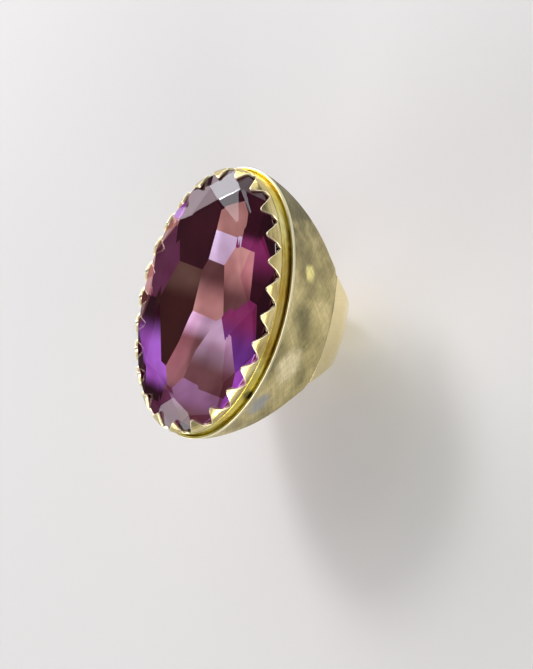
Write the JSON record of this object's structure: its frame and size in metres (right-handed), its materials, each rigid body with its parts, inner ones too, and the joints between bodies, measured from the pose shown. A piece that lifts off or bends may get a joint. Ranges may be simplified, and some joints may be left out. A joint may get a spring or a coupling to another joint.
{
  "type": "cocktail ring",
  "caption": "Wide cocktail ring: a long oval faceted purple stone in a saw-tooth bezel, on a brushed gold band that tapers to a narrow polished palm side.",
  "frame": {"origin": "centre of the finger hole, on its axis", "axes": "+Y along the finger hole and along the length of the stone, +Z from the palm up to the stone, X across the finger"},
  "size_m": [0.0196, 0.0318, 0.0245],
  "materials": {
    "stone": "faceted and polished, purple with rose flashes",
    "gold_polished": "polished yellow gold",
    "gold_brushed": "cross-brushed, slightly patinated yellow gold"
  },
  "bodies": {
    "root": {"gemstone": "stone", "serrated_bezel": "gold_polished", "stone_seat": "gold_polished", "gallery_channel": "gold_polished", "rim_wire": "gold_polished", "shoulder_right": "gold_brushed", "shoulder_left": "gold_brushed", "palm_shank": "gold_polished", "finger_liner": "gold_polished"}
  },
  "joints": []
}
